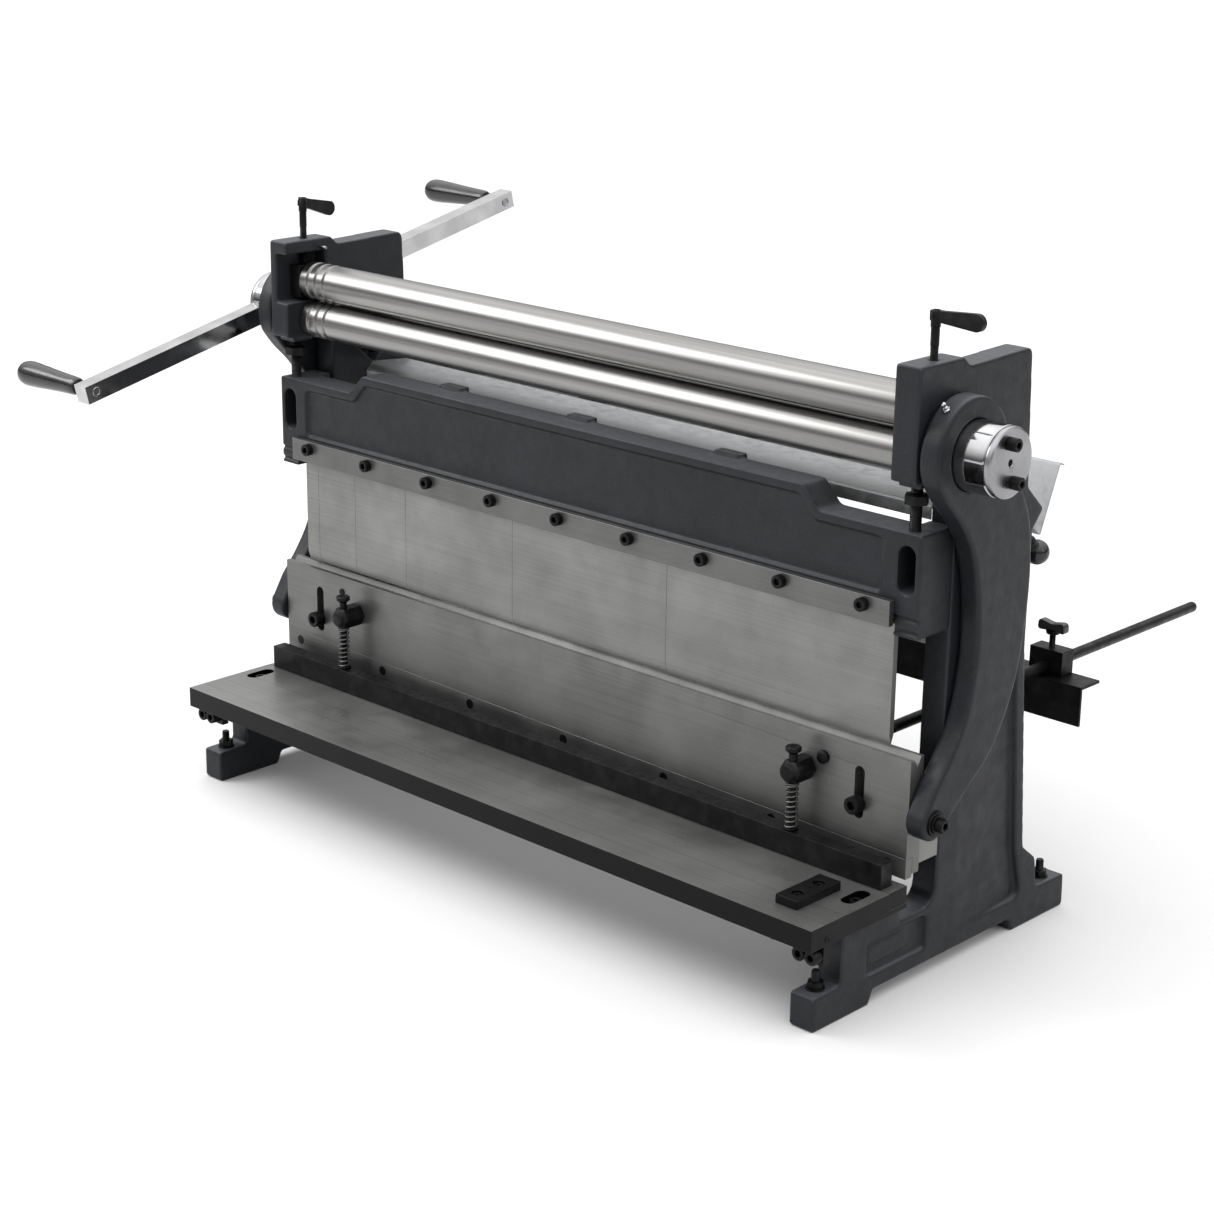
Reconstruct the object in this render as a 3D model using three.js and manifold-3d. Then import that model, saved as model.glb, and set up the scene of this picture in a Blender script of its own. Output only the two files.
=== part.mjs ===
// Combination shear, press brake and slip roll, 1016 mm (40 inch) working width.
// Millimetres. X runs along the rolls, Y to the rear, Z up. Shapes are written in
// machine coordinates: X = 0 midway between the side frames, Y = 0 midway between the
// front and rear feet, Z = 0 under the feet. The whole group is then moved so that its
// origin is at the middle of the bottom of its bounding box.
//
// Turning the lever turns the lower roll, which carries an eccentric on each end.
// The eccentrics lift and lower two curved arms, and the arms carry the moving plate:
// up to bend against the punches, down to shear against the blade on the table.
import * as THREE from 'three';
import { mergeVertices } from 'three/addons/utils/BufferGeometryUtils.js';
import Module from 'manifold-3d';

const wasm = await Module();
wasm.setup();

// ---- Driving dimensions ----
const GAP = 0.3;             // clearance between pieces that touch
const WORK = 1016;           // working width, the sum of the punch widths
const FRAME_IN = 510;        // inner and outer face of a side frame, measured from X = 0
const FRAME_OUT = 544;
const FRAME_MID = (FRAME_IN + FRAME_OUT) / 2;
const BEAM_HALF = 546;       // half length of the moving plate and the crosshead
const TABLE_HALF = 551;
const POST_Y = -27;          // front face of the upright posts
const PLATE_Y = [-89, -65];  // front and back face of the moving plate
const TIP_Y = -77;           // plane of the punch tips and the bottom of the vee groove
const BEAM_Y = -91;          // front face of the crosshead
const TABLE_Z = 133;
const HEAD_Z = 733;
const ROLL_R = 25;
const LOWER = { y: -60, z: 626 };    // axis of the lower roll, which is the main shaft
const UPPER = { y: -60, z: 678 };
const HUB = { y: -41, z: 632 };      // centre of the eccentric at rest
const HUB_R = 40.2;
const HUB_SIDES = 40;
const HUB_X = [545.8, 588, 613];     // inner face, floor of the lever channel, outer face
const RING_R = 65;
const ARM_X = [547, 574];
const BOSS = { y: -76, z: 212 };     // lower end of each arm
const REAR = { y: 18, z: 605 };      // axis of the rear roll at rest
const REAR_TILT = THREE.MathUtils.degToRad(-43);  // slope of the rear roll's slides
const REAR_FACE = 144;               // from the rear roll's axis to the face under the knob
const LEVER_TILT = THREE.MathUtils.degToRad(13);
const LEVER_SIDE = 24.4;
const LEVER_ENDS = [-346, 446];      // distances along the lever from the hub
const GRIP_STATIONS = [LEVER_ENDS[0] + 16, LEVER_ENDS[1] - 16];
const GRIP_X = 628;                  // inner end of the grips
const SPINDLE_TO = 740;
const ROD = { x: 478, z: 291, r: 7 };
const HOLD_X = 397;                  // hold-down bolts
const HOLD_Y = -114;
const GUIDE_X = 475;                 // slotted guide screws of the moving plate

const PUNCH_INCHES = [1, 3, 4, 8, 10.5, 13.5];

// ---- Finishes ----
const FINISH = {
  casting: { color: 0x3d4046, roughness: 0.5, metalness: 0.1 },
  ground: { color: 0x9a9a96, roughness: 0.35, metalness: 0.8 },
  roll: { color: 0xb9b9b6, roughness: 0.22, metalness: 0.9 },
  chrome: { color: 0xd8d8d8, roughness: 0.08, metalness: 1 },
  black: { color: 0x1b1b1c, roughness: 0.45, metalness: 0.6 },
  table: { color: 0x6a6a6a, roughness: 0.35, metalness: 0.75 },
  sheet: { color: 0xc8cac8, roughness: 0.4, metalness: 0.7 },
  plastic: { color: 0x0d0d0e, roughness: 0.2, metalness: 0 },
};

// ---- Solids ----
function toSolid(geometry) {
  const bare = geometry.clone();
  bare.deleteAttribute('normal');
  bare.deleteAttribute('uv');
  const merged = mergeVertices(bare, 1e-4);
  return new wasm.Manifold(new wasm.Mesh({
    numProp: 3,
    vertProperties: new Float32Array(merged.attributes.position.array),
    triVerts: new Uint32Array(merged.index.array),
  }));
}

function toGeometry(solid) {
  const { vertProperties, triVerts } = solid.getMesh();
  const geometry = new THREE.BufferGeometry();
  geometry.setAttribute('position', new THREE.BufferAttribute(vertProperties, 3));
  geometry.setIndex(new THREE.BufferAttribute(triVerts, 1));
  geometry.computeVertexNormals();
  return geometry;
}

const join = (first, ...others) =>
  toGeometry(others.reduce((solid, other) => solid.add(toSolid(other)), toSolid(first)));
const cut = (first, ...others) =>
  toGeometry(others.reduce((solid, other) => solid.subtract(toSolid(other)), toSolid(first)));
const common = (first, other) => toGeometry(toSolid(first).intersect(toSolid(other)));

// A closed outline through [u, v] corners; a third number rounds that corner.
function outline(corners, steps = 5) {
  const count = corners.length;
  const shape = new THREE.Shape();
  corners.forEach(([u, v, radius = 0], i) => {
    const here = new THREE.Vector2(u, v);
    if (radius === 0) {
      if (i === 0) shape.moveTo(u, v);
      else shape.lineTo(u, v);
      return;
    }
    const last = new THREE.Vector2(...corners[(i + count - 1) % count]);
    const next = new THREE.Vector2(...corners[(i + 1) % count]);
    const toLast = last.sub(here).normalize();
    const toNext = next.sub(here).normalize();
    const halfAngle = Math.acos(toLast.dot(toNext)) / 2;
    const reach = radius / Math.tan(halfAngle);
    const start = here.clone().addScaledVector(toLast, reach);
    const centre = here.clone().addScaledVector(
      toLast.clone().add(toNext).normalize(), radius / Math.sin(halfAngle));
    const end = here.clone().addScaledVector(toNext, reach);
    const from = start.clone().sub(centre);
    const turn = from.clone().cross(end.clone().sub(centre));
    const sweep = Math.sign(turn) * (Math.PI - 2 * halfAngle);
    for (let step = 0; step <= steps; step += 1) {
      const spoke = from.clone().rotateAround(new THREE.Vector2(), sweep * step / steps);
      const point = spoke.add(centre);
      if (i === 0 && step === 0) shape.moveTo(point.x, point.y);
      else shape.lineTo(point.x, point.y);
    }
  });
  return shape;
}

function extrude(shape, depth, matrix) {
  const geometry = new THREE.ExtrudeGeometry(shape, { depth, bevelEnabled: false });
  return geometry.applyMatrix4(matrix);
}

// An outline drawn in Y and Z, carried from x0 to x1.
const alongX = (shape, x0, x1) =>
  extrude(shape, x1 - x0, new THREE.Matrix4().set(0, 0, 1, x0, 1, 0, 0, 0, 0, 1, 0, 0, 0, 0, 0, 1));
// An outline drawn in X and Z, carried from y0 to y1.
const alongY = (shape, y0, y1) =>
  extrude(shape, y1 - y0, new THREE.Matrix4().set(1, 0, 0, 0, 0, 0, -1, y1, 0, 1, 0, 0, 0, 0, 0, 1));
// An outline drawn in X and Y, carried from z0 to z1.
const alongZ = (shape, z0, z1) =>
  extrude(shape, z1 - z0, new THREE.Matrix4().makeTranslation(0, 0, z0));

function block([x0, x1], [y0, y1], [z0, z1]) {
  const geometry = new THREE.BoxGeometry(x1 - x0, y1 - y0, z1 - z0);
  return geometry.translate((x0 + x1) / 2, (y0 + y1) / 2, (z0 + z1) / 2);
}

// Round bars along each axis.
function barX(radius, [x0, x1], { y, z }, sides = 20) {
  const geometry = new THREE.CylinderGeometry(radius, radius, x1 - x0, sides);
  return geometry.rotateZ(Math.PI / 2).translate((x0 + x1) / 2, y, z);
}

function barY(radius, [y0, y1], { x, z }, sides = 16) {
  const geometry = new THREE.CylinderGeometry(radius, radius, y1 - y0, sides);
  return geometry.translate(x, (y0 + y1) / 2, z);
}

function barZ(radius, [z0, z1], { x, y }, sides = 16) {
  const geometry = new THREE.CylinderGeometry(radius, radius, z1 - z0, sides);
  return geometry.rotateX(Math.PI / 2).translate(x, y, (z0 + z1) / 2);
}

// A slot with round ends, standing along Z and cut through along Y.
function slotY(width, [z0, z1], [y0, y1], x) {
  const half = width / 2;
  const round = half - 0.01;
  return alongY(outline([
    [x - half, z0, round], [x + half, z0, round], [x + half, z1, round], [x - half, z1, round],
  ]), y0, y1);
}

function piece(name, geometry, finish) {
  const mesh = new THREE.Mesh(geometry, new THREE.MeshStandardMaterial(FINISH[finish]));
  mesh.name = name;
  return mesh;
}

// ---- Side frames ----
// Seen from the side: foot, table seat, throat, post, overhanging head, rear boss.
function frameOutline() {
  return outline([
    [-245, 0, 3], [-143, 0, 2], [-136, 17, 4], [128, 17, 4], [135, 0, 2], [245, 0, 3],
    [243, 42, 2], [184, 44, 4], [178, 84, 12], [150, 106, 10], [126, 370, 300], [126, 508],
    [146, 530, 3], [112, 562, 8], [103, 726, 9], [-14, 722, 2], [-26, HEAD_Z, 2],
    [-105, HEAD_Z, 2], [-106, 603, 3], [POST_Y, 603, 5], [POST_Y, 88, 22], [-93, 88, 2],
    [-93, 105.7], [-197, 105.7, 3], [-197, 43, 6], [-245, 42, 2],
  ], 4);
}

// A box whose long side follows the rear roll's slide, placed from the roll's axis.
function slideBox(along, half, [x0, x1]) {
  const box = block([x0, x1], along, [-half, half]);
  return box.rotateX(REAR_TILT).translate(0, REAR.y, REAR.z);
}

function slideBar(radius, along, sides = 16) {
  const bar = barY(radius, along, { x: FRAME_MID, z: 0 }, sides);
  return bar.rotateX(REAR_TILT).translate(0, REAR.y, REAR.z);
}

// The side panel is sunk by a floor that slopes inwards towards the rear rim.
function sidePanel() {
  const outlineYZ = outline([
    [-5, 40, 8], [150, 42, 12], [132, 110, 20], [111, 330], [111, 500], [60, 590], [-5, 560],
  ]);
  const outer = FRAME_OUT + 1;
  const wedge = alongZ(outline([[outer, -6], [outer, 160], [outer - 10, 160]]), 30, 600);
  return common(alongX(outlineYZ, outer - 13, outer), wedge);
}

// The left head is open in front of its bearing. The right one is closed, and hollow for the gears.
function frameCasting(isLeft) {
  const bearingY = [-83, -37];
  const bearingZ = [650, 716];
  const pocketX = [FRAME_IN - 1, FRAME_IN + 22];
  let body = alongX(frameOutline(), FRAME_IN, FRAME_OUT);
  const jackBoss = block([FRAME_MID - 15, FRAME_MID + 15], [-93, -60], [596, 604]);
  const rodLug = block([ROD.x - 15, FRAME_IN + 1], [60, 95], [ROD.z - 15, ROD.z + 15]);
  const hollow = isLeft
    ? block(pocketX, [-120, -70], bearingZ)
    : block([FRAME_IN - 1, GEAR_X[1] + 0.8], [-91, -29], [595, 722]);
  const basePocket = outline([[-150, 36, 6], [-41, 36, 6], [-41, 79, 6], [-150, 79, 6]]);
  body = join(body, jackBoss, rodLug);
  body = cut(
    body,
    hollow,
    sidePanel(),
    alongX(basePocket, FRAME_OUT - 6, FRAME_OUT + 1),
    block(pocketX, bearingY, bearingZ),
    barX(18.4, [FRAME_IN - 1, FRAME_OUT + 1], LOWER),
    barZ(5.5, [bearingZ[1] - 2, HEAD_Z + 1], { x: FRAME_MID, y: UPPER.y }, 16),
    slideBox([-52, 60], 21, pocketX),
    slideBar(7.5, [0, REAR_FACE + 20]),
    barY(ROD.r + GAP, [50, 105], ROD, 16),
    barZ(7.5, [595, 625], { x: FRAME_MID, y: -78 }, 16),
  );
  const plaque = block([FRAME_OUT - 6.5, FRAME_OUT - 4], [-144, -78], [48, 70]);
  return join(body, plaque);
}

// ---- Drive: eccentrics, arms, lever ----
function armOutline() {
  const shape = new THREE.Shape();
  const ringStart = THREE.MathUtils.degToRad(-20);
  const ringEnd = THREE.MathUtils.degToRad(205);
  const bossStart = THREE.MathUtils.degToRad(150);
  const bossEnd = THREE.MathUtils.degToRad(325);
  const bossRadius = 22;
  shape.absarc(HUB.y, HUB.z, RING_R, ringStart, ringEnd, false);
  shape.splineThru([[-82, 582], [-54, 553], [-31, 517], [-18, 471], [-13, 415], [-17, 369],
    [-29, 322], [-51, 285], [-77, 253]].map(([u, v]) => new THREE.Vector2(u, v)));
  shape.absarc(BOSS.y, BOSS.z, bossRadius, bossStart, bossEnd, false);
  shape.splineThru([[-20, 233], [20, 264], [47, 302], [68, 350], [80, 415], [83, 480],
    [74, 540], [48, 590]].map(([u, v]) => new THREE.Vector2(u, v)));
  return new THREE.Shape(shape.getPoints(3));
}

function arm() {
  return cut(
    alongX(armOutline(), ...ARM_X),
    barX(HUB_R + 0.5, [ARM_X[0] - 1, ARM_X[1] + 1], HUB, HUB_SIDES),
    barX(8, [ARM_X[0] - 1, ARM_X[1] + 1], BOSS),
  );
}

function armBolt() {
  const washer = barX(15, [ARM_X[1] + GAP, ARM_X[1] + 3], BOSS);
  const head = barX(9, [ARM_X[1] + 2, ARM_X[1] + 13], BOSS);
  const socket = barX(4.5, [ARM_X[1] + 7, ARM_X[1] + 14], BOSS, 6);
  const shank = barX(7.6, [ARM_X[0] + 1, ARM_X[1] + 1], BOSS);
  return cut(join(washer, head, shank), socket);
}

function eccentric() {
  const half = LEVER_SIDE / 2 + GAP;
  const channel = block([HUB_X[1], HUB_X[2] + 1], [-60, 60], [-half, half]);
  return cut(
    barX(HUB_R, [HUB_X[0], HUB_X[2]], HUB, HUB_SIDES),
    channel.rotateX(LEVER_TILT).translate(0, HUB.y, HUB.z),
    barX(16.3, [HUB_X[0] - 1, HUB_X[0] + 30], LOWER),
  );
}

function hubCap() {
  const plate = [HUB_X[2] + GAP, HUB_X[2] + 9];
  return cut(barX(HUB_R, plate, HUB, HUB_SIDES), barX(4, [plate[0] - 1, plate[1] + 1], HUB, 10));
}

// The square bar through the left eccentric, with a grip spindle near each end.
function leverBar() {
  const half = LEVER_SIDE / 2;
  const barFromX = HUB_X[1] + GAP;
  const bar = block([barFromX, barFromX + LEVER_SIDE], LEVER_ENDS, [-half, half]);
  const spindleX = [barFromX + LEVER_SIDE - 1, SPINDLE_TO];
  const spindles = GRIP_STATIONS.map((y) => barX(6, spindleX, { y, z: 0 }));
  return join(bar, ...spindles).rotateX(LEVER_TILT).translate(0, HUB.y, HUB.z);
}

// A tapered handle on a spindle, bored from its inner end.
function grip(station) {
  const profile = [[0, 0], [10.5, 0], [12, 6], [12.5, 20], [14.5, 55], [17, 92], [17, 108],
    [14, 121], [8, 127], [0, 128]];
  const handle = turned(profile, { y: station, z: 0 }, 14).translate(GRIP_X, 0, 0);
  const bored = cut(handle, barX(6.4, [GRIP_X - 1, SPINDLE_TO + 1], { y: station, z: 0 }));
  return bored.rotateX(LEVER_TILT).translate(0, HUB.y, HUB.z);
}

// ---- Rolls ----
const JOURNAL = { lower: 18, upper: 12 };
const GEAR_X = [510.5, 519.5];   // in the hollow of the right head
const TEETH = 14;
const MODULE = (UPPER.z - LOWER.z) / TEETH;

// Straight-sided gear tooth form, with a tooth or a space pointing along +Z.
function gear({ y, z }, journal, phase) {
  const pitch = MODULE * TEETH / 2;
  const corners = [];
  const stations = [[-0.5, -1.2], [-0.26, -1.2], [-0.11, 0.85], [0.11, 0.85], [0.26, -1.2]];
  for (let tooth = 0; tooth < TEETH; tooth += 1) {
    for (const [offset, height] of stations) {
      const angle = 2 * Math.PI * (tooth + offset + phase) / TEETH + Math.PI / 2;
      const radius = pitch + height * MODULE;
      corners.push([y + radius * Math.cos(angle), z + radius * Math.sin(angle)]);
    }
  }
  const bore = barX(journal + GAP, [GEAR_X[0] - 1, GEAR_X[1] + 1], { y, z });
  return cut(alongX(outline(corners), ...GEAR_X), bore);
}

// A [radius, x] profile turned about an axis along X.
function turned(profile, { y, z }, sides = 20) {
  const lathe = new THREE.LatheGeometry(profile.map(([r, h]) => new THREE.Vector2(r, h)), sides);
  return lathe.rotateZ(-Math.PI / 2).translate(0, y, z);
}

// A front roll: three wire grooves at the left end and a journal at each end.
function frontRoll(axis, journal, journalTo) {
  const end = 509;
  const profile = [[0, -journalTo], [journal, -journalTo], [journal, -end],
    [ROLL_R - 1, -end], [ROLL_R, 1 - end]];
  for (const centre of [-493, -477, -461]) {
    profile.push([ROLL_R, centre - 2.5], [ROLL_R - 3, centre], [ROLL_R, centre + 2.5]);
  }
  profile.push([ROLL_R, end - 1], [ROLL_R - 1, end], [journal, end]);
  profile.push([journal, journalTo], [0, journalTo]);
  return turned(profile, axis);
}

function rearRoll() {
  const half = [[ROLL_R, 508], [12, 508], [12, 530], [0, 530]];
  const otherHalf = half.map(([r, h]) => [r, -h]).reverse();
  return turned([...otherHalf, ...half], REAR);
}

function upperBearing(isLeft) {
  const from = isLeft ? FRAME_IN + 1 : GEAR_X[1] + 1;
  const body = block([from, FRAME_IN + 21.5], [-81.5, -38.5], [656, 699]);
  return cut(body, barX(JOURNAL.upper + GAP, [FRAME_IN, FRAME_IN + 20.5], UPPER));
}

// Threaded stem with a flat paddle pinned in its top, wider towards its round end.
function crankScrew(droop) {
  const top = 787;
  const stem = barZ(4.7, [699 + GAP, top], { x: 0, y: 0 });
  const paddle = alongY(outline([
    [-6, -6, 2], [10, -7], [64, -11, 9], [64, 10, 9], [10, 6], [-6, 6, 2],
  ]), -3.5, 3.5);
  paddle.rotateY(droop).translate(0, 0, top - 6);
  return join(stem, paddle);
}

function rearBearing() {
  return cut(
    slideBox([-20, 20], 19.5, [FRAME_IN + 1, FRAME_IN + 21.5]),
    barX(12.3, [FRAME_IN, FRAME_IN + 20.5], REAR),
  );
}

function knobScrew() {
  const stemFrom = 20 + GAP;
  const ballAt = 197;
  const ball = new THREE.SphereGeometry(15, 14, 8);
  ball.translate(FRAME_MID, ballAt, 0).rotateX(REAR_TILT).translate(0, REAR.y, REAR.z);
  return join(slideBar(6, [stemFrom, ballAt]), ball);
}

// ---- Sheet tray behind the rolls ----
// A folded sheet: a front lip, a shelf that falls into a trough, and a rear wall with a hem.
// The front left corner of the shelf is cut off.
function tray() {
  const folded = alongX(outline([
    [-20, 541], [-18.5, 541], [-18.5, 556.3], [119.5, 543.4], [200, 477.5], [233.5, 559.6],
    [241, 556.5], [241.6, 558], [232.6, 561.6], [199.4, 480.2], [120.2, 545], [-20, 558],
  ]), -505, 505);
  const corner = alongZ(outline([[-506, -21], [-446, -21], [-506, 43]]), 540, 560);
  return cut(folded, corner);
}

// ---- Back gauge ----
const GAUGE_Y = [258, 299];
const ANGLE_TOP = 281;
const BLOCK_TOP = 313;

function gaugeRod() {
  return barY(ROD.r, [-38, 615], ROD, 20);
}

function gaugeAngle() {
  const t = 4;
  const [front, rear] = GAUGE_Y;
  return alongX(outline([
    [front, 230], [front + t, 230], [front + t, ANGLE_TOP - t], [rear, ANGLE_TOP - t],
    [rear, ANGLE_TOP], [front, ANGLE_TOP],
  ]), -540, 540);
}

function gaugeBlock() {
  const [front, rear] = [GAUGE_Y[0] + 13, GAUGE_Y[1] - 3];
  const body = block([ROD.x - 24, ROD.x + 24], [front, rear], [ANGLE_TOP + GAP, BLOCK_TOP]);
  return cut(body, barY(ROD.r + GAP, [GAUGE_Y[0], GAUGE_Y[1]], ROD, 20));
}

function gaugeKnob() {
  const centre = { x: ROD.x, y: (GAUGE_Y[0] + GAUGE_Y[1]) / 2 + 5 };
  const wings = alongY(outline([
    [centre.x - 20, 333, 4], [centre.x, 336, 8], [centre.x + 20, 333, 4],
    [centre.x + 19, 347, 4], [centre.x, 343, 8], [centre.x - 19, 347, 4],
  ], 3), centre.y - 6, centre.y + 6);
  return join(wings, barZ(4, [BLOCK_TOP + GAP, 340], centre, 12), barZ(8, [329, 338], centre));
}

// ---- Table ----
function table() {
  const slot = (x) => alongZ(outline([
    [x - 9, -177, 8.9], [x + 9, -177, 8.9], [x + 9, -135, 8.9], [x - 9, -135, 8.9],
  ]), TABLE_Z - 12, TABLE_Z + 1);
  const body = alongX(outline([
    [-262, 106], [-90, 106], [-90, 112], [-122, 112], [-122, TABLE_Z], [-262, TABLE_Z],
  ]), -TABLE_HALF, TABLE_HALF);
  return cut(body, slot(-528), slot(528));
}

const lowerBlade = () =>
  block([-TABLE_HALF + 1, TABLE_HALF - 1], [-122 + GAP, -90], [112 + GAP, TABLE_Z]);

function squareGauge() {
  const body = block([474, 505], [-232, -154], [TABLE_Z + GAP, TABLE_Z + 11]);
  const hole = (y) => barZ(7, [TABLE_Z + 5, TABLE_Z + 12], { x: 489.5, y }, 20);
  return cut(body, hole(-212), hole(-174));
}

// ---- Moving plate and its guides ----
const SEAM_Z = [181.5, 163];   // top of the upper blade at the left and right end
const EDGE_Z = [156, 138];     // cutting edge, which slopes so that it cuts progressively
const STROKE_SLOT = [193, 257];
const LIP_Z = [281.4, 284];    // top of the plate in front of and behind the vee groove
const VEE_Z = 271.4;           // bottom of the vee groove
const TIP_Z = 289;             // tips of the punches

// A front view bounded above and below by two straight lines, each given at its ends.
const slopedShape = ([topLeft, topRight], [lowLeft, lowRight]) => outline([
  [-BEAM_HALF, lowLeft], [BEAM_HALF, lowRight], [BEAM_HALF, topRight], [-BEAM_HALF, topLeft],
]);

function movingPlate() {
  const [frontLip, rearLip] = LIP_Z;
  const bottom = EDGE_Z.map((z) => z + 4);
  const past = BEAM_HALF + 1;
  const seat = alongY(outline([
    [-past, 100], [past, 100], [past, SEAM_Z[1]], [-past, SEAM_Z[0]],
  ]), PLATE_Y[0] - 1, PLATE_Y[0] + 12);
  const step = block([-past, past], [PLATE_Y[0] - 1, TIP_Y], [frontLip, rearLip + 1]);
  const groove = outline([[TIP_Y, VEE_Z], [TIP_Y + 7.5, VEE_Z + 14], [TIP_Y - 7.5, VEE_Z + 14]]);
  const slot = (x) => slotY(14, STROKE_SLOT, [PLATE_Y[0] - 1, PLATE_Y[1] + 1], x);
  return cut(
    alongY(slopedShape([rearLip, rearLip], bottom), ...PLATE_Y),
    seat,
    step,
    alongX(groove, -past, past),
    slot(-GUIDE_X),
    slot(GUIDE_X),
  );
}

const upperBlade = () => alongY(
  slopedShape([SEAM_Z[0] - GAP, SEAM_Z[1] - GAP], EDGE_Z), PLATE_Y[0], PLATE_Y[0] + 12 - GAP);

const guideBeam = () =>
  block([-FRAME_OUT, FRAME_OUT], [PLATE_Y[1] + GAP, POST_Y - GAP], [150, 240]);

function guideScrew() {
  const at = { x: GUIDE_X, z: 212 };
  const headTo = PLATE_Y[0] - 15;
  const socket = barY(5, [headTo - 1, headTo + 8], at, 6);
  const head = barY(10.5, [headTo, PLATE_Y[0] - GAP], at, 20);
  return cut(join(head, barY(5.8, [PLATE_Y[0] - 2, PLATE_Y[1]], at, 16)), socket);
}

// ---- Hold-down ----
// Hexagonal studs on the moving plate carry the bar on two bolts, with springs between.
const BAR_TOP = 164;
const STUD_Z = 236;
const STUD_R = 13.5;           // over the corners of the hexagon

const holdDownBar = () => block([-538, 538], [-124, -103], [TABLE_Z + GAP, BAR_TOP]);

function holdDownStud() {
  const at = { x: HOLD_X, z: STUD_Z };
  const hex = barY(STUD_R, [HOLD_Y - 8, PLATE_Y[0] - GAP], at, 6);
  const nose = barY(11, [HOLD_Y - 13, HOLD_Y - 7], at, 20);
  const bore = barZ(5.6, [STUD_Z - 20, STUD_Z + 20], { x: HOLD_X, y: HOLD_Y }, 20);
  return cut(join(hex, nose), bore);
}

function holdDownBolt() {
  const at = { x: HOLD_X, y: HOLD_Y };
  const collar = barZ(9, [BAR_TOP + GAP, BAR_TOP + 3], at, 20);
  const shank = barZ(5, [BAR_TOP + GAP, 262], at, 20);
  const head = barZ(9.5, [261, 267], at, 20);
  return join(shank, head, collar);
}

// The coil's envelope: a tube around the bolt's shank.
function holdDownSpring() {
  const at = { x: HOLD_X, y: HOLD_Y };
  const ends = [BAR_TOP + 3 + GAP, STUD_Z - STUD_R - GAP];
  return cut(barZ(8, ends, at), barZ(5.6, [ends[0] - 1, ends[1] + 1], at, 20));
}

// ---- Crosshead, clamp bar and punches ----
const CLAMP_X = 513.5;
const SEAT_Z = 450;          // top of the punch heads
const SHELF_Z = 544.5;       // top of the crosshead's low ends

function crosshead() {
  const lip = -72.7;
  const middle = alongY(outline([
    [-CLAMP_X, 440], [CLAMP_X, 440], [CLAMP_X, SHELF_Z], [402, SHELF_Z, 10], [377, 571, 8],
    [-377, 571, 8], [-402, SHELF_Z, 10], [-CLAMP_X, SHELF_Z],
  ]), BEAM_Y, -48);
  const end = (side) => {
    const x = [CLAMP_X - 1, BEAM_HALF].map((v) => v * side).sort((a, b) => a - b);
    return block(x, [BEAM_Y, POST_Y - 3], [424, SHELF_Z]);
  };
  const lug = (x) => block([x - 20, x + 20], [-60, -43], [566, 576]);
  const body = join(middle, end(-1), end(1), lug(-238), lug(-8), lug(236));
  const panel = alongY(outline([
    [-494, 468, 8], [494, 468, 8], [494, SHELF_Z - 12, 8], [396, SHELF_Z - 12, 12], [371, 559, 8],
    [-371, 559, 8], [-396, SHELF_Z - 12, 12], [-494, SHELF_Z - 12, 8],
  ]), BEAM_Y - 1, BEAM_Y + 5);
  const steps = [428, 443].map((z) => block([-600, 600], [BEAM_Y - 1, BEAM_Y + 3.5], [z, z + 5]));
  const seat = block([-CLAMP_X, CLAMP_X], [BEAM_Y - 1, lip], [430, SEAT_Z]);
  const slot = (x) => slotY(24, [473, 529], [BEAM_Y - 1, POST_Y], x);
  return cut(body, panel, ...steps, seat, slot(-FRAME_MID), slot(FRAME_MID));
}

const clampBar = () => block([-CLAMP_X, CLAMP_X], [BEAM_Y - 9, BEAM_Y - GAP], [435, 465]);

function punch(x0, x1) {
  const [front, back] = [TIP_Y - 4, TIP_Y + 4];
  const top = SEAT_Z - GAP;
  return alongX(outline([
    [TIP_Y, TIP_Z], [back, 301], [back, top], [BEAM_Y + GAP, top], [BEAM_Y + GAP, 436],
    [front, 434], [front, 301],
  ]), x0 + GAP / 2, x1 - GAP / 2);
}

function punches() {
  const inch = WORK / PUNCH_INCHES.reduce((sum, width) => sum + width, 0);
  let x = -WORK / 2;
  return PUNCH_INCHES.map((width, i) => {
    const mesh = piece(`punch_${i + 1}`, punch(x, x + width * inch), 'ground');
    x += width * inch;
    return mesh;
  });
}

// The screw ends low in its boss, so that the raised crosshead keeps it off the lower roll.
function jackScrew() {
  const at = { x: FRAME_MID, y: -78 };
  const top = 599.5;
  return join(barZ(7, [SHELF_Z + GAP, top], at), barZ(12.5, [575, 587], at, 6));
}

// ---- One side of the machine, drawn for the right; the left is its mirror image ----
// The right crank points outwards; the left one points to the rear and droops a little.
const CRANK_POSE = { left: { turn: 81, droop: 15 }, right: { turn: 0, droop: 0 } };

function crank(side) {
  const { turn, droop } = CRANK_POSE[side];
  const mesh = piece(`crank_screw_${side}`, crankScrew(THREE.MathUtils.degToRad(droop)), 'black');
  mesh.position.set(FRAME_MID, UPPER.y, 0);
  mesh.rotation.z = THREE.MathUtils.degToRad(turn);
  return mesh;
}

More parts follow.
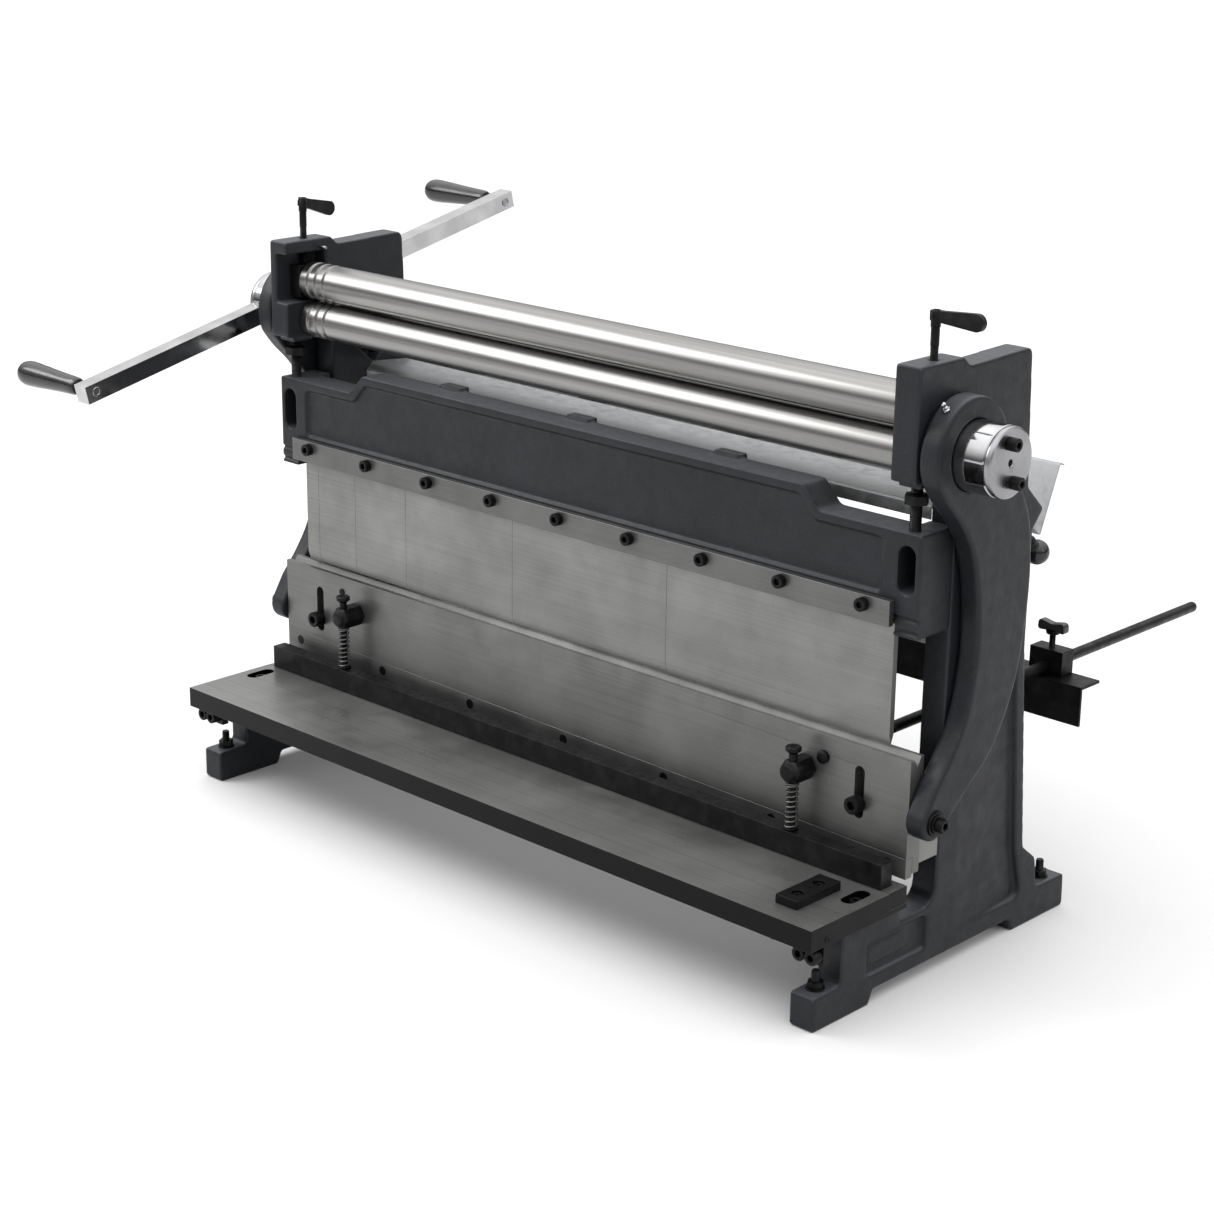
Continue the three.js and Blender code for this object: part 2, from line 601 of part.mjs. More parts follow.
function sideParts(side) {
  const isLeft = side === 'left';
  const group = new THREE.Group();
  group.add(
    piece(`side_frame_${side}`, frameCasting(isLeft), 'casting'),
    piece(`arm_${side}`, arm(), 'casting'),
    piece(`arm_bolt_${side}`, armBolt(), 'black'),
    piece(`eccentric_${side}`, eccentric(), 'chrome'),
    piece(`hub_cap_${side}`, hubCap(), 'chrome'),
    piece(`upper_bearing_${side}`, upperBearing(isLeft), 'black'),
    crank(side),
    piece(`rear_bearing_${side}`, rearBearing(), 'black'),
    piece(`rear_knob_screw_${side}`, knobScrew(), 'plastic'),
    piece(`gauge_rod_${side}`, gaugeRod(), 'black'),
    piece(`gauge_block_${side}`, gaugeBlock(), 'black'),
    piece(`gauge_knob_${side}`, gaugeKnob(), 'plastic'),
    piece(`guide_screw_${side}`, guideScrew(), 'black'),
    piece(`hold_down_stud_${side}`, holdDownStud(), 'black'),
    piece(`hold_down_bolt_${side}`, holdDownBolt(), 'black'),
    piece(`hold_down_spring_${side}`, holdDownSpring(), 'black'),
    piece(`jack_screw_${side}`, jackScrew(), 'black'),
  );
  if (isLeft) {
    const [front, rear] = GRIP_STATIONS;
    group.add(
      piece('lever_bar', leverBar(), 'chrome'),
      piece('grip_front', grip(front), 'plastic'),
      piece('grip_rear', grip(rear), 'plastic'),
    );
    group.scale.x = -1;
  }
  return group;
}

// ---- Assembly ----
const brake = new THREE.Group();
brake.add(
  sideParts('left'),
  sideParts('right'),
  piece('lower_roll', frontRoll(LOWER, JOURNAL.lower, FRAME_OUT + 0.8), 'roll'),
  piece('upper_roll', frontRoll(UPPER, JOURNAL.upper, 530), 'roll'),
  piece('rear_roll', rearRoll(), 'roll'),
  piece('lower_gear', gear(LOWER, JOURNAL.lower, 0), 'black'),
  piece('upper_gear', gear(UPPER, JOURNAL.upper, 0.5), 'black'),
  piece('sheet_tray', tray(), 'sheet'),
  piece('gauge_angle', gaugeAngle(), 'black'),
  piece('table', table(), 'table'),
  piece('lower_blade', lowerBlade(), 'table'),
  piece('square_gauge', squareGauge(), 'black'),
  piece('guide_beam', guideBeam(), 'ground'),
  piece('moving_plate', movingPlate(), 'ground'),
  piece('upper_blade', upperBlade(), 'ground'),
  piece('hold_down_bar', holdDownBar(), 'black'),
  piece('crosshead', crosshead(), 'casting'),
  piece('clamp_bar', clampBar(), 'ground'),
  ...punches(),
);

brake.updateMatrixWorld(true);
const bounds = new THREE.Box3().setFromObject(brake);
const middle = bounds.getCenter(new THREE.Vector3());
brake.position.set(-middle.x, -middle.y, -bounds.min.z);
brake.updateMatrixWorld(true);

export default brake;
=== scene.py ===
import math

import bmesh
import bpy
from mathutils import Matrix, Vector


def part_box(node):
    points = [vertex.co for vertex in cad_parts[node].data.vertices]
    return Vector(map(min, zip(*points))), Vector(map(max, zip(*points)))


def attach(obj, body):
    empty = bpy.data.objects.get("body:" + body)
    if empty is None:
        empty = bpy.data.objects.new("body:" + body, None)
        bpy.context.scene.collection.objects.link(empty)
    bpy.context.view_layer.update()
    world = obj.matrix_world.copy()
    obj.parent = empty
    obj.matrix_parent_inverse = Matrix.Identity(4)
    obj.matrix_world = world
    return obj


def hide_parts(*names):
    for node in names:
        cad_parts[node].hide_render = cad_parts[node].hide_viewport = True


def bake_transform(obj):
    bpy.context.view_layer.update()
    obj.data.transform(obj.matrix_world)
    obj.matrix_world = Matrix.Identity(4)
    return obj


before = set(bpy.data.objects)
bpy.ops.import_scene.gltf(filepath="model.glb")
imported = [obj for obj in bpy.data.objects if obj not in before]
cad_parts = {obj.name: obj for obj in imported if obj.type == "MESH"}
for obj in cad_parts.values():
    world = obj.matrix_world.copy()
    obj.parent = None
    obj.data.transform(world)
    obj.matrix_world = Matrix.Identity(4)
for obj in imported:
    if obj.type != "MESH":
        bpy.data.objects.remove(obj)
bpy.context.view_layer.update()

TAU = 2 * math.pi
SIDES = {"left": -1, "right": 1}

# ---- Places in the machine, in millimetres ----
FRAME_MID = 527                  # middle of each side frame, along X
TABLE_Z = 133                    # top of the table
TABLE_UNDER = 105.8              # just below its underside
LOWER = (0, -60, 626)            # axes of the rolls, which run along X
UPPER = (0, -60, 678)
REAR = (0, 18, 605)
REAR_TILT = math.radians(-43)    # slope of the rear roll's slides
ROLL_R = 25
ROLL_HALF = 509                  # half the length of a front roll between its journals
HUB = (0, -41, 632)              # centre of the eccentrics
HUB_R = 40.2
HUB_X = (545.8, 613)             # inner and outer end of each eccentric
LEVER_TILT = math.radians(13)
LEVER_HALF = 12.2                # half the height of the lever's bar
LEVER_X = (-588.3, -612.7)       # where the grips' spindles come out of the bar
GRIP_STATIONS = {"front": -330, "rear": 430}   # along the lever, from the hub
GRIP_FROM = -628                 # near end of each grip
ARM_X = (547, 574)               # inner and outer face of each arm
BOSS = (0, -76, 212)             # lower end of each arm
BOLT_R = 8                       # bore for the pivot bolt of an arm
PLATE_FRONT = -89
PLATE_HALF = 546
SEAM_Z = (181.5, 163)            # top edge of the sloping upper blade, left and right
CLAMP_FRONT = -100               # front of the bar that clamps the punches
JACK_Y = -78                     # jack screws of the crosshead
BAR_TOP = 164                    # top of the hold-down bar
STUD_Z = 236                     # axis of the hexagonal hold-down studs
HOLD_X, HOLD_Y = 397, -114       # bolts of the hold-down bar
ROD_X, ROD_Z = 478, 291          # rods of the back gauge
GAUGE_KNOB_Y = 283.5

# ---- Camera ----
CAMERA_AT = (2.1752, -2.3466, 1.3073)
AZIMUTH, ELEVATION, ROLL = 43.54, 17.88, 0.70
LENS = 74.72


def middle(node):
    low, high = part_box(node)
    return (low + high) / 2


ORIGIN = Vector((
    (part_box("side_frame_left")[0].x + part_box("side_frame_right")[1].x) / 2,
    middle("lower_roll").y - LOWER[1] / 1000,
    0,
))


def add_camera():
    data = bpy.data.cameras.new("camera")
    data.lens, data.sensor_width = LENS, 36
    camera = bpy.data.objects.new("camera", data)
    azimuth, elevation, roll = (math.radians(v) for v in (AZIMUTH, ELEVATION, ROLL))
    turn = (Matrix.Rotation(azimuth, 4, "Z")
            @ Matrix.Rotation(math.pi / 2 - elevation, 4, "X")
            @ Matrix.Rotation(roll, 4, "Z"))
    camera.matrix_world = Matrix.Translation(CAMERA_AT) @ turn
    bpy.context.scene.collection.objects.link(camera)
    bpy.context.scene.camera = camera


add_camera()


# ---- Materials ----
class Finish:
    """A Principled material with procedural detail in object coordinates, in metres."""

    def __init__(self, name, metallic, roughness, **numbers):
        self.material = bpy.data.materials.new(name)
        self.material.use_nodes = True
        self.tree = self.material.node_tree
        self.shader = self.tree.nodes["Principled BSDF"]
        self.shader.inputs["Metallic"].default_value = metallic
        self.shader.inputs["Roughness"].default_value = roughness
        for socket, value in numbers.items():
            self.shader.inputs[socket].default_value = value
        self.coordinates = self.node("ShaderNodeTexCoord")
        self.where = self.coordinates.outputs["Object"]
        self.normal = None

    def node(self, kind, inputs=(), **settings):
        node = self.tree.nodes.new(kind)
        for key, value in settings.items():
            setattr(node, key, value)
        for key, value in dict(inputs).items():
            if isinstance(value, bpy.types.NodeSocket):
                self.tree.links.new(value, node.inputs[key])
            else:
                node.inputs[key].default_value = value
        return node

    def stretched(self, stretch):
        scaled = {"Vector": self.where, "Scale": stretch}
        return self.node("ShaderNodeMapping", scaled).outputs["Vector"]

    def noise(self, scale, stretch=(1, 1, 1), detail=3):
        inputs = {"Vector": self.stretched(stretch), "Scale": scale, "Detail": detail}
        return self.node("ShaderNodeTexNoise", inputs).outputs["Fac"]

    def span(self, value, low, high, to_low=0.0, to_high=1.0):
        inputs = {"Value": value, "From Min": low, "From Max": high,
                  "To Min": to_low, "To Max": to_high}
        return self.node("ShaderNodeMapRange", inputs).outputs["Result"]

    def mix(self, factor, first, second):
        colours = [c if isinstance(c, bpy.types.NodeSocket) else (*c, 1) for c in (first, second)]
        inputs = {0: factor, 6: colours[0], 7: colours[1]}
        return self.node("ShaderNodeMix", inputs, data_type="RGBA").outputs[2]

    def math(self, operation, first, second=0.0):
        return self.node("ShaderNodeMath", {0: first, 1: second}, operation=operation).outputs[0]

    def axis(self, name, source="Object"):
        split = self.node("ShaderNodeSeparateXYZ", {0: self.coordinates.outputs[source]})
        return split.outputs[name]

    def colour(self, value):
        self.tree.links.new(value, self.shader.inputs["Base Color"])

    def roughness(self, value):
        self.tree.links.new(value, self.shader.inputs["Roughness"])

    def bump(self, height, distance, strength=1.0):
        inputs = {"Height": height, "Distance": distance, "Strength": strength}
        if self.normal is not None:
            inputs["Normal"] = self.normal
        self.normal = self.node("ShaderNodeBump", inputs).outputs["Normal"]
        self.tree.links.new(self.normal, self.shader.inputs["Normal"])


def casting_paint():
    """Charcoal enamel over a rough casting, lighter on edges for wear and a painted highlight, with
    painted light from above lightening the faces that look up.
    """
    paint = Finish("casting_paint", 0.0, 0.45, **{"Specular IOR Level": 0.24})
    broad = paint.span(paint.noise(9, detail=4), 0.35, 0.65)
    base = paint.mix(broad, (0.0095, 0.0103, 0.0125), (0.0135, 0.0147, 0.0178))
    # Painted light from above: faces that look up are lightened towards a lit grey.
    painted_top_light = paint.span(paint.axis("Z", "Normal"), 0.6, 0.98, 0.0, 0.8)
    base = paint.mix(painted_top_light, base, (0.062, 0.066, 0.074))
    pointiness = paint.node("ShaderNodeNewGeometry").outputs["Pointiness"]
    # Edges are lightened, partly for worn paint and partly as a painted highlight on rounded edges.
    edge = paint.span(pointiness, 0.53, 0.60, 0.0, 0.55)
    speckle = paint.span(paint.noise(420, detail=2), 0.62, 0.74, 0.0, 0.5)
    speckled = paint.mix(speckle, base, (0.034, 0.036, 0.042))
    paint.colour(paint.mix(edge, speckled, (0.08, 0.08, 0.09)))
    paint.roughness(paint.span(paint.noise(55, detail=3), 0.3, 0.7, 0.36, 0.52))
    paint.bump(paint.noise(70, detail=4), 0.0012, 0.35)
    paint.bump(paint.noise(520, detail=3), 0.00035, 0.5)
    return paint.material


def ground_steel(name, dark, light, rough, lengthwise=True):
    """Ground flat steel: fine parallel marks, slow blotches and a few dull spots."""
    steel = Finish(name, 0.85, rough)
    fine = (3, 700, 700) if lengthwise else (700, 700, 3)
    marks = steel.noise(1, stretch=fine, detail=4)
    blotch = steel.span(steel.noise(7, detail=5), 0.32, 0.68)
    base = steel.mix(blotch, dark, light)
    spots = steel.span(steel.noise(160, detail=3), 0.66, 0.78, 0.0, 0.35)
    base = steel.mix(spots, base, tuple(v * 0.55 for v in dark))
    streak = steel.span(marks, 0.3, 0.7, 0.0, 0.35)
    steel.colour(steel.mix(streak, base, tuple(v * 1.25 for v in light)))
    steel.roughness(steel.span(steel.noise(25, detail=4), 0.3, 0.7, rough - 0.07, rough + 0.10))
    steel.bump(marks, 0.00003, 0.5)
    return steel.material


def table_steel():
    """Oiled ground top with scribed lines, and blackened edges and underside."""
    table = Finish("table_steel", 0.8, 0.4)
    blotch = table.span(table.noise(6, detail=6), 0.3, 0.7)
    top = table.mix(blotch, (0.15, 0.15, 0.148), (0.26, 0.26, 0.255))
    marks = table.noise(1, stretch=(4, 800, 800), detail=4)
    top = table.mix(table.span(marks, 0.35, 0.7, 0.0, 0.3), top, (0.34, 0.34, 0.33))
    lines = None
    for y in (-236, -205, -172):
        away = table.math("ABSOLUTE", table.math("SUBTRACT", table.axis("Y"), ORIGIN.y + y / 1000))
        line = table.math("LESS_THAN", away, 0.0004)
        lines = line if lines is None else table.math("MAXIMUM", lines, line)
    top = table.mix(table.math("MULTIPLY", lines, 0.6), top, (0.05, 0.05, 0.05))
    facing_up = table.span(table.axis("Z", "Normal"), 0.80, 0.97)
    table.colour(table.mix(facing_up, (0.004, 0.004, 0.004), top))
    table.roughness(table.span(table.noise(18, detail=5), 0.3, 0.7, 0.26, 0.44))
    table.bump(marks, 0.00003, 0.5)
    return table.material


def roll_steel():
    """Turned and polished roll: fine marks round the roll, with faint streaks along it."""
    roll = Finish("roll_steel", 1.0, 0.25)
    streak = roll.span(roll.noise(1, stretch=(2, 160, 160), detail=3), 0.35, 0.65)
    roll.colour(roll.mix(streak, (0.21, 0.207, 0.20), (0.27, 0.267, 0.26)))
    roll.roughness(roll.span(roll.noise(1, stretch=(3, 30, 30), detail=2), 0.3, 0.7, 0.26, 0.32))
    roll.bump(roll.noise(1, stretch=(1500, 4, 4), detail=2), 0.000008, 0.5)
    return roll.material


def bright_plate(name, rough, dark, light):
    """Bright plated steel with faint scratches and a little haze."""
    plate = Finish(name, 1.0, rough)
    haze = plate.span(plate.noise(30, detail=5), 0.35, 0.7)
    plate.colour(plate.mix(haze, dark, light))
    plate.roughness(plate.span(plate.noise(60, detail=4), 0.35, 0.75, rough, rough + 0.10))
    plate.bump(plate.noise(1, stretch=(30, 500, 500), detail=3), 0.00008, 0.35)
    return plate.material


def black_oxide():
    """Blackened steel: dark, slightly oily, lighter where it is handled."""
    black = Finish("black_oxide", 0.8, 0.42, **{"Specular IOR Level": 0.3})
    rubbed = black.span(black.noise(45, detail=5), 0.45, 0.8)
    black.colour(black.mix(rubbed, (0.010, 0.010, 0.0105), (0.024, 0.024, 0.025)))
    black.roughness(black.span(black.noise(120, detail=3), 0.3, 0.7, 0.34, 0.52))
    black.bump(black.noise(600, detail=3), 0.00012, 0.4)
    return black.material


def galvanised_sheet():
    """Zinc-coated sheet with small crystals."""
    zinc = Finish("galvanised_sheet", 0.75, 0.42)
    cells = zinc.node("ShaderNodeTexVoronoi", {"Vector": zinc.where, "Scale": 130})
    shade = zinc.node("ShaderNodeSeparateColor", {0: cells.outputs["Color"]}).outputs[0]
    haze = zinc.span(zinc.noise(18, detail=5), 0.3, 0.7)
    base = zinc.mix(haze, (0.22, 0.225, 0.23), (0.28, 0.285, 0.29))
    zinc.colour(zinc.mix(zinc.math("MULTIPLY", shade, 0.35), base, (0.42, 0.425, 0.43)))
    zinc.roughness(zinc.span(shade, 0.0, 1.0, 0.34, 0.50))
    zinc.bump(zinc.noise(500, detail=3), 0.00015, 0.5)
    return zinc.material


def black_plastic():
    """Glossy moulded plastic with a trace of flow marks."""
    plastic = Finish("black_plastic", 0.0, 0.16, **{"Specular IOR Level": 0.5})
    tint = plastic.span(plastic.noise(40, detail=4), 0.35, 0.7)
    plastic.colour(plastic.mix(tint, (0.009, 0.009, 0.010), (0.016, 0.016, 0.017)))
    plastic.roughness(plastic.span(plastic.noise(90, detail=4), 0.3, 0.7, 0.12, 0.24))
    plastic.bump(plastic.noise(220, detail=2), 0.00012, 0.25)
    return plastic.material


PAINT = casting_paint()
GROUND = ground_steel("ground_steel", (0.17, 0.17, 0.166), (0.24, 0.24, 0.235), 0.42)
PLATE = ground_steel("plate_steel", (0.115, 0.115, 0.113), (0.17, 0.17, 0.167), 0.40)
CLAMP = ground_steel("clamp_steel", (0.10, 0.10, 0.098), (0.145, 0.145, 0.142), 0.40)
TABLE = table_steel()
ROLL = roll_steel()
CHROME = bright_plate("chrome", 0.07, (0.40, 0.40, 0.405), (0.52, 0.52, 0.525))
SATIN = bright_plate("satin_steel", 0.24, (0.27, 0.27, 0.28), (0.35, 0.35, 0.36))
BLACK = black_oxide()
ZINC = galvanised_sheet()
PLASTIC = black_plastic()


# ---- Shells: (vertices, faces) in machine millimetres, each one closed surface ----
def turned(profile, centre, axis, sides=48):
    """Rings of (radius, distance) along an axis. A third value, "hex", makes a ring six-sided."""
    turn = Vector(axis).to_track_quat("Z", "Y").to_matrix()
    vertices, faces = [], []
    for radius, distance, *form in profile:
        for i in range(sides):
            angle = TAU * i / sides
            reach = radius
            if form:
                reach = radius / math.cos(angle % (TAU / 6) - TAU / 12)
            flat = Vector((reach * math.cos(angle), reach * math.sin(angle), distance))
            vertices.append(Vector(centre) + turn @ flat)
    for ring in range(len(profile) - 1):
        for i in range(sides):
            a, b = ring * sides + i, ring * sides + (i + 1) % sides
            faces.append((a, b, b + sides, a + sides))
    faces.append(tuple(range(sides)))
    faces.append(tuple(range(len(vertices) - sides, len(vertices))))
    return vertices, faces


AXES = {
    "X": lambda u, v, along: Vector((along, u, v)),
    "Y": lambda u, v, along: Vector((u, along, v)),
    "Z": lambda u, v, along: Vector((u, v, along)),
}


def prism(outline, axis, low, high):
    """A flat outline carried along an axis. It is drawn in the other two coordinates, in order."""
    count = len(outline)
    vertices = [AXES[axis](u, v, along) for along in (low, high) for u, v in outline]
    faces = [tuple(range(count)), tuple(range(count, 2 * count))]
    for i in range(count):
        j = (i + 1) % count
        faces.append((i, j, count + j, count + i))
    return vertices, faces


def block(xs, ys, zs):
    return prism([(xs[0], ys[0]), (xs[1], ys[0]), (xs[1], ys[1]), (xs[0], ys[1])], "Z", *zs)


def rounded(corners, steps=8):
    """A closed outline through (u, v) corners; a third number rounds that corner."""
    points = []
    for i, (u, v, *radius) in enumerate(corners):
        here = Vector((u, v))
        if not radius:
            points.append(here)
            continue
        to_last = (Vector(corners[i - 1][:2]) - here).normalized()
        to_next = (Vector(corners[(i + 1) % len(corners)][:2]) - here).normalized()
        half = math.acos(max(-1, min(1, to_last.dot(to_next)))) / 2
        centre = here + (to_last + to_next).normalized() * radius[0] / math.sin(half)
        start = here + to_last * radius[0] / math.tan(half) - centre
        end = here + to_next * radius[0] / math.tan(half) - centre
        sweep = math.copysign(math.pi - 2 * half, start.cross(end))
        for step in range(steps + 1):
            points.append(centre + Matrix.Rotation(sweep * step / steps, 2) @ start)
    return [tuple(p) for p in points]


def tube(path, radius, sides=10):
    """A round bar along a path of points, closed at both ends."""
    vertices, faces = [], []
    across = None
    for i, point in enumerate(path):
        ahead = (path[min(i + 1, len(path) - 1)] - path[max(i - 1, 0)]).normalized()
        across = ahead.orthogonal() if across is None else across - ahead * across.dot(ahead)
        across.normalize()
        other = ahead.cross(across)
        for k in range(sides):
            angle = TAU * k / sides
            vertices.append(point + radius * (math.cos(angle) * across + math.sin(angle) * other))
    for ring in range(len(path) - 1):
        for k in range(sides):
            a, b = ring * sides + k, ring * sides + (k + 1) % sides
            faces.append((a, b, b + sides, a + sides))
    faces.append(tuple(range(sides)))
    faces.append(tuple(range(len(vertices) - sides, len(vertices))))
    return vertices, faces


def moved(shell, matrix):
    return [matrix @ v for v in shell[0]], shell[1]


def about(centre, angle):
    """A turn about an axis along X through a centre."""
    return (Matrix.Translation(centre) @ Matrix.Rotation(angle, 4, "X")
            @ Matrix.Translation(-Vector(centre)))


# ---- Pieces ----
def to_mesh(name, shells, sharp=30):
    """One mesh in metres in the frame's own coordinates, smooth but for edges over an angle."""
    build = bmesh.new()
    for vertices, faces in shells:
        made = [build.verts.new(ORIGIN + v / 1000) for v in vertices]
        for face in faces:
            build.faces.new([made[i] for i in face])
    bmesh.ops.recalc_face_normals(build, faces=build.faces)
    mesh = bpy.data.meshes.new(name)
    build.to_mesh(mesh)
    build.free()
    mesh.shade_smooth()
    mesh.set_sharp_from_angle(angle=math.radians(sharp))
    return mesh


def add(name, shells, material, body, stands_for=(), bevel=0.0, segments=3):
    piece = bpy.data.objects.new(name, to_mesh(name, shells, 180 if bevel else 30))
    bpy.context.scene.collection.objects.link(piece)
    piece.data.materials.append(material)
    if bevel:
        soften(piece, bevel, segments)
    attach(piece, body)
    if stands_for:
        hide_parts(*stands_for)
    return piece


def soften(piece, width, segments=3, angle=30):
    """Rounds the edges by a width in millimetres."""
    edge = piece.modifiers.new("edge", "BEVEL")
    edge.width = width / 1000
    edge.segments = segments
    edge.limit_method = "ANGLE"
    edge.angle_limit = math.radians(angle)
    edge.harden_normals = True
    edge.use_clamp_overlap = True


def applied(piece):
    """Makes the piece's modifiers part of its mesh."""
    bpy.context.view_layer.update()
    shown = piece.evaluated_get(bpy.context.evaluated_depsgraph_get())
    mesh = bpy.data.meshes.new_from_object(shown)
    piece.modifiers.clear()
    piece.data = mesh
    return piece


def carve(piece, shells):
    """Cuts shells out of a piece."""
    cutter = bpy.data.objects.new("cutter", to_mesh("cutter", shells))
    bpy.context.scene.collection.objects.link(cutter)
    cut = piece.modifiers.new("cut", "BOOLEAN")
    cut.object, cut.operation, cut.solver = cutter, "DIFFERENCE", "EXACT"
    applied(piece)
    bpy.data.objects.remove(cutter)
    piece.data.shade_smooth()
    piece.data.set_sharp_from_angle(angle=math.radians(30))
    return piece


def dress(node, material, bevel=0.6):
    """Keeps a CAD node's shape, rounds its edges and gives it its finish."""
    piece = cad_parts[node]
    piece.data.materials.clear()
    piece.data.materials.append(material)
    piece.data.shade_smooth()
    custom = piece.data.attributes.get("custom_normal")
    if custom:
        piece.data.attributes.remove(custom)
    weld = piece.modifiers.new("weld", "WELD")
    weld.merge_threshold = 1e-5
    flat = piece.modifiers.new("flat", "DECIMATE")
    flat.decimate_type, flat.angle_limit = "DISSOLVE", math.radians(1)
    soften(piece, bevel)
    return piece


def cast(piece, voxel=2.0, relax=8):
    """Turns hard corners and steps into the soft ones of a sand casting."""
    if piece.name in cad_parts:
        weld = piece.modifiers.new("weld", "WELD")
        weld.merge_threshold = 1e-5
        piece.data.materials.clear()
        piece.data.materials.append(PAINT)
    skin = piece.modifiers.new("skin", "REMESH")
    skin.mode, skin.voxel_size, skin.use_smooth_shade = "VOXEL", voxel / 1000, True
    soft = piece.modifiers.new("soft", "SMOOTH")
    soft.factor, soft.iterations = 0.5, relax
    return piece


# ---- Fasteners ----
def socket_head(centre, axis, radius, height, socket, shank=0.0, shank_length=0.0):
    """A socket head cap screw. The centre is under the head, and the axis points out of it."""
    chamfer = radius * 0.12
    profile = [(shank, -shank_length), (shank, 0)] if shank else []
    profile += [
        (radius - chamfer * 0.4, 0), (radius, chamfer * 0.5), (radius, height - chamfer),
        (radius - chamfer * 0.3, height - chamfer * 0.3), (radius - chamfer, height),
        (socket * 1.16 + 0.3, height), (socket, height - 0.4, "hex"),
        (socket, height * 0.45, "hex"), (socket * 0.3, height * 0.38),
    ]
    return turned(profile, centre, axis)


def hex_nut(centre, axis, radius, height):
    chamfer = radius * 0.14
    profile = [
        (radius * 0.93, 0), (radius, chamfer * 0.5, "hex"), (radius, height - chamfer * 0.5, "hex"),
        (radius * 0.93, height), (radius * 0.4, height),
    ]
    return turned(profile, centre, axis)


def threads(radius, low, high, pitch=1.5, depth=0.55):
    """Profile of a threaded length."""
    profile = []
    count = int((high - low) / pitch)
    for i in range(count):
        start = low + i * (high - low) / count
        profile += [(radius - depth, start), (radius, start + pitch * 0.5)]
    return profile + [(radius - depth, high)]


def washer(centre, axis, radius, height):
    profile = [(radius - 0.4, 0), (radius, 0.4), (radius, height - 0.4), (radius - 0.5, height)]
    return turned(profile, centre, axis)


# ---- Castings ----
def side_frames():
    for side in SIDES:
        cast(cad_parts[f"side_frame_{side}"])
    pin = [(2.4, -1), (2.4, 10.5), (2, 11.6), (0.8, 12)]
    add("head_pin", [turned(pin, (-510, -45, 721), (1, 0, 0), 32)], SATIN, "frame")


def crosshead():
    cast(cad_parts["crosshead"])


def catmull(points, steps):
    """Points on a smooth curve through the given points, the first one left out."""
    made = []
    for i in range(len(points) - 1):
        p0, p1 = points[max(i - 1, 0)], points[i]
        p2, p3 = points[i + 1], points[min(i + 2, len(points) - 1)]
        for step in range(1, steps + 1):
            t = step / steps
            made.append(tuple(
                0.5 * (2 * b + (c - a) * t + (2 * a - 5 * b + 4 * c - d) * t * t
                       + (3 * b - a - 3 * c + d) * t ** 3)
                for a, b, c, d in zip(p0, p1, p2, p3)))
    return made


def arc(centre, radius, start, end, steps):
    angles = [math.radians(start + (end - start) * i / steps) for i in range(steps + 1)]
    return [(centre[1] + radius * math.cos(a), centre[2] + radius * math.sin(a)) for a in angles]


def arm_outline():
    """Side view of an arm: a ring for the eccentric, a bowed strap and a boss for the bolt."""
    ring = arc(HUB, 65, -20, 205, 60)
    front = [(-82, 582), (-54, 553), (-31, 517), (-18, 471), (-13, 415), (-17, 369),
             (-29, 322), (-51, 285), (-77, 253)]
    boss = arc(BOSS, 22, 150, 325, 30)
    rear = [(-20, 233), (20, 264), (47, 302), (68, 350), (80, 415), (83, 480), (74, 540),
            (48, 590)]
    outline = ring + catmull([ring[-1]] + front, 8) + catmull([front[-1], boss[0]], 3)[:-1] + boss
    return outline + catmull([boss[-1]] + rear, 8) + catmull([rear[-1], ring[0]], 3)[:-1]


def arms():
    for side, sign in SIDES.items():
        inner = sign * ARM_X[0]
        low, high = sorted(sign * x for x in ARM_X)
        piece = add(f"arm_body_{side}", [prism(arm_outline(), "X", low, high)], PAINT,
                    f"{side}_arm", [f"arm_{side}"], bevel=6, segments=4)
        applied(piece)
        bores = []
        for radius, (_, y, z), sides in ((HUB_R + 0.5, HUB, 96), (BOLT_R, BOSS, 48)):
            bores.append(turned([(radius, -5), (radius, 45)], (inner, y, z), (sign, 0, 0), sides))
        carve(piece, bores)
        cast(piece, voxel=1.6, relax=4)
        grease_nipple(side, sign)


def grease_nipple(side, sign):
    """On the upper front of the arm's ring, pointing away from the hub."""
    out = Vector((0, -43, 60)).normalized()
    base = Vector((sign * sum(ARM_X) / 2, HUB[1], HUB[2])) + out * 63.5
    profile = [(4.6, 0, "hex"), (4.6, 4.5, "hex"), (3.2, 5), (3.2, 7), (1.9, 8.5), (1.9, 9.6),
               (2.8, 10.6), (3.0, 12.2), (2.2, 13.6), (0.8, 14)]
    add(f"grease_nipple_{side}", [turned(profile, base, out, 36)], CHROME, f"{side}_arm")


# ---- Drive ----
def hubs():
    """Eccentrics with a channel for the lever's bar and a bore for the roll's journal."""
    for side, sign in SIDES.items():
        inner = HUB_X[0] * sign
        length = HUB_X[1] - HUB_X[0]
        profile = [(HUB_R - 1, 0), (HUB_R, 1), (HUB_R, length - 1.2), (HUB_R - 1.2, length)]
        hub = add(f"eccentric_body_{side}", [turned(profile, (inner, *HUB[1:]), (sign, 0, 0), 128)],
                  CHROME, "main_shaft", [f"eccentric_{side}"])
        half = LEVER_HALF + 0.3
        low, high = sorted((588 * sign, 614 * sign))
        channel = block((low, high), (HUB[1] - 60, HUB[1] + 60), (HUB[2] - half, HUB[2] + half))
        bore = turned([(16.3, -1), (16.3, 30)], (inner, *LOWER[1:]), (sign, 0, 0), 64)
        carve(hub, [moved(channel, about(HUB, LEVER_TILT))])
        carve(hub, [bore])
        soften(hub, 0.5, 2, 50)
        hub_cap(side, sign)


